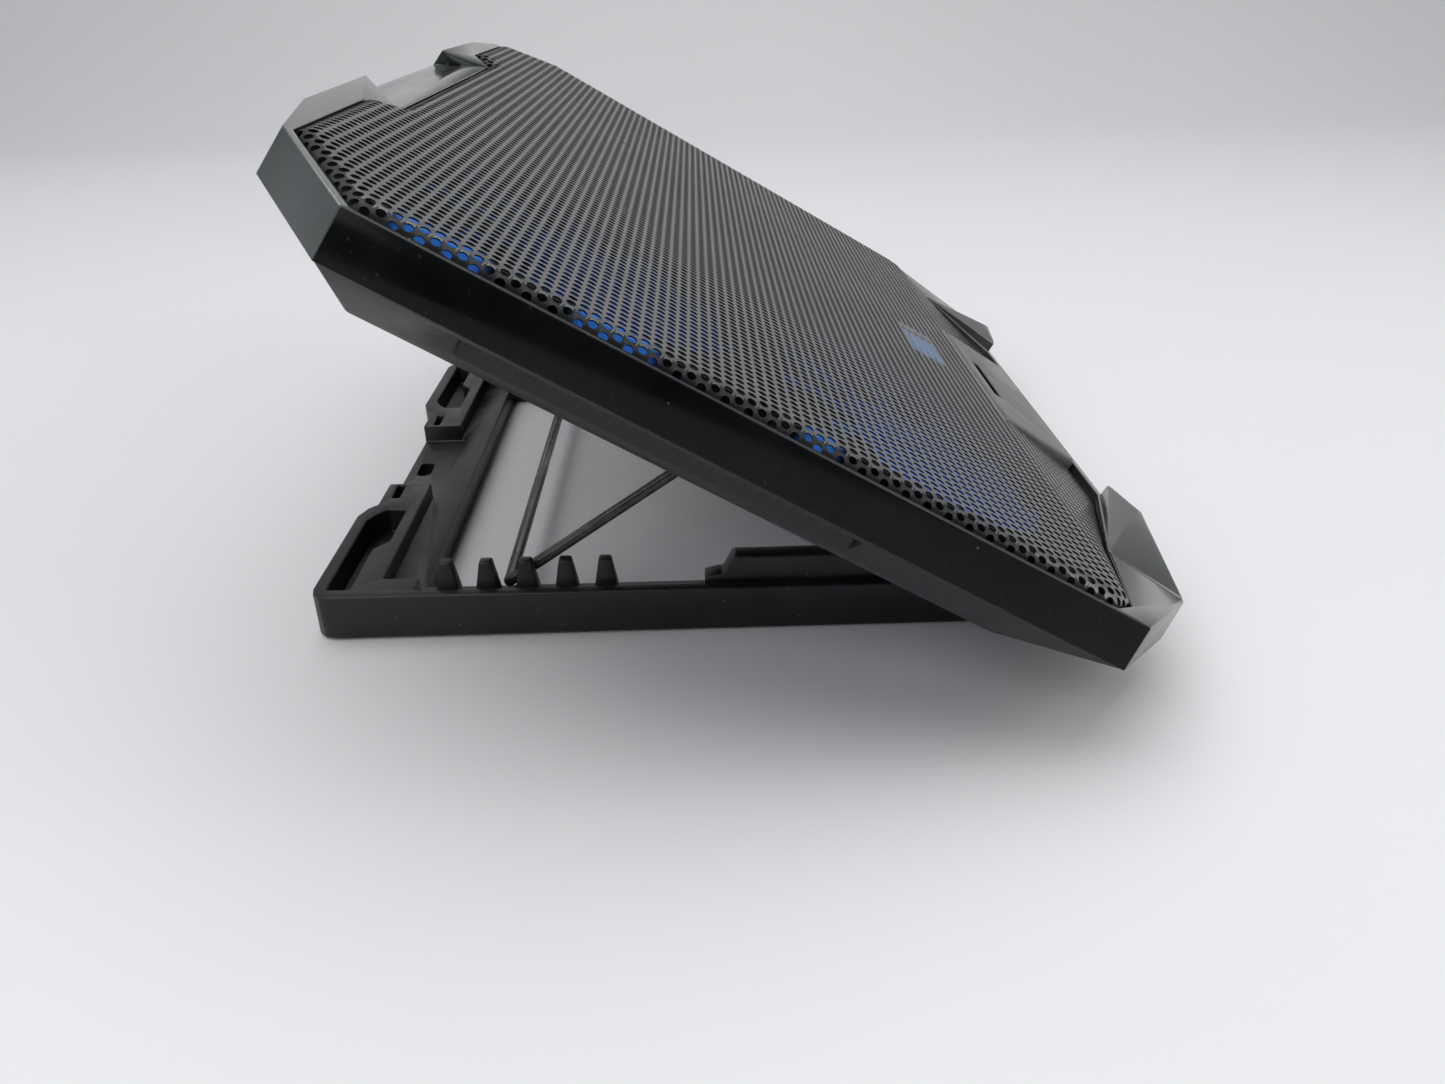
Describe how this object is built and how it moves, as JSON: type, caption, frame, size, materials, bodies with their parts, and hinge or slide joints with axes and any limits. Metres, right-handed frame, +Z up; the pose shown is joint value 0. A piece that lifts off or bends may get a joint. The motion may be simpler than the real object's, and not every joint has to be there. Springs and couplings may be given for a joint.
{
  "type": "laptop cooling pad",
  "caption": "Tilting laptop cooling pad: perforated metal deck over slim fans, hinged to a low open base frame and held up by a wire prop in toothed racks.",
  "frame": {"origin": "centre of the whole object's footprint, on the surface it stands on", "axes": "+X across the width, +Y to the raised rear edge, +Z up"},
  "size_m": [0.4052, 0.2848, 0.1742],
  "materials": {
    "deck_shell": "semi-gloss moulded black with fine scuffs",
    "base_plastic": "satin moulded black",
    "mesh_sheet": "perforated sheet steel, satin black coating",
    "panel_trim": "semi-gloss moulded trim",
    "dark_gloss": "smoked gloss",
    "badge_blue": "glossy plain blue inlay",
    "fan_housing": "satin moulded black",
    "fan_blade": "glossy blue",
    "rubber_foot": "matt rubber",
    "circuit_board": "green solder mask",
    "steel_hardware": "plated steel",
    "prop_bar": "black coated steel bar",
    "dial_plastic": "knurled black thumbwheel"
  },
  "bodies": {
    "base": {"base_frame": "base_plastic", "foot_front_left": "rubber_foot", "foot_front_right": "rubber_foot", "foot_rear_left": "rubber_foot", "foot_rear_right": "rubber_foot", "hinge_pin_left": "steel_hardware", "hinge_pin_right": "steel_hardware"},
    "deck": {"top_frame": "deck_shell", "mesh_grille": "mesh_sheet", "front_panel": "panel_trim", "indicator_lens": "dark_gloss", "badge_frame": "dark_gloss", "badge_inlay": "badge_blue", "bottom_cover": "deck_shell", "cover_screw_left_1": "steel_hardware", "cover_screw_left_2": "steel_hardware", "cover_screw_left_3": "steel_hardware", "cover_screw_right_1": "steel_hardware", "cover_screw_right_2": "steel_hardware", "cover_screw_right_3": "steel_hardware", "fan_frame_front_left": "fan_housing", "fan_frame_front_right": "fan_housing", "fan_frame_rear_left": "fan_housing", "fan_frame_rear_right": "fan_housing", "controller_board": "circuit_board", "usb_socket_1": "steel_hardware", "usb_socket_2": "steel_hardware", "prop_clip_right": "base_plastic", "prop_clip_left": "base_plastic"},
    "prop": {"prop_bar": "prop_bar"},
    "rotor_front_left": {"fan_rotor_front_left": "fan_blade"},
    "rotor_front_right": {"fan_rotor_front_right": "fan_blade"},
    "rotor_rear_left": {"fan_rotor_rear_left": "fan_blade"},
    "rotor_rear_right": {"fan_rotor_rear_right": "fan_blade"},
    "dial": {"speed_dial": "dial_plastic"}
  },
  "joints": [
    {"name": "deck_tilt", "type": "hinge", "parent": "base", "child": "deck", "pos_m": [0, -0.10039, 0.0088], "axis": [1, 0, 0], "range_deg": [-30.18, 11.3]},
    {"name": "prop_swing", "type": "hinge", "parent": "deck", "child": "prop", "pos_m": [0, -0.01163, 0.0728], "axis": [1, 0, 0], "range_deg": [-23.5, 61.5]},
    {"name": "fan_front_left_spin", "type": "hinge", "parent": "deck", "child": "rotor_front_left", "pos_m": [-0.118, -0.05804, 0.06408], "axis": [0, -0.5027, 0.8645], "continuous": true},
    {"name": "fan_front_right_spin", "type": "hinge", "parent": "deck", "child": "rotor_front_right", "pos_m": [0.118, -0.05804, 0.06408], "axis": [0, -0.5027, 0.8645], "continuous": true},
    {"name": "fan_rear_left_spin", "type": "hinge", "parent": "deck", "child": "rotor_rear_left", "pos_m": [-0.118, 0.04397, 0.1234], "axis": [0, -0.5027, 0.8645], "continuous": true},
    {"name": "fan_rear_right_spin", "type": "hinge", "parent": "deck", "child": "rotor_rear_right", "pos_m": [0.118, 0.04397, 0.1234], "axis": [0, -0.5027, 0.8645], "continuous": true},
    {"name": "speed_dial_turn", "type": "hinge", "parent": "deck", "child": "dial", "pos_m": [0.121, 0.11055, 0.16328], "axis": [0, -0.5027, 0.8645], "range_deg": [0, 270]}
  ],
  "couplings": [
    {"joint": "prop_swing", "follows": "deck_tilt", "ratio": -2.01}
  ]
}
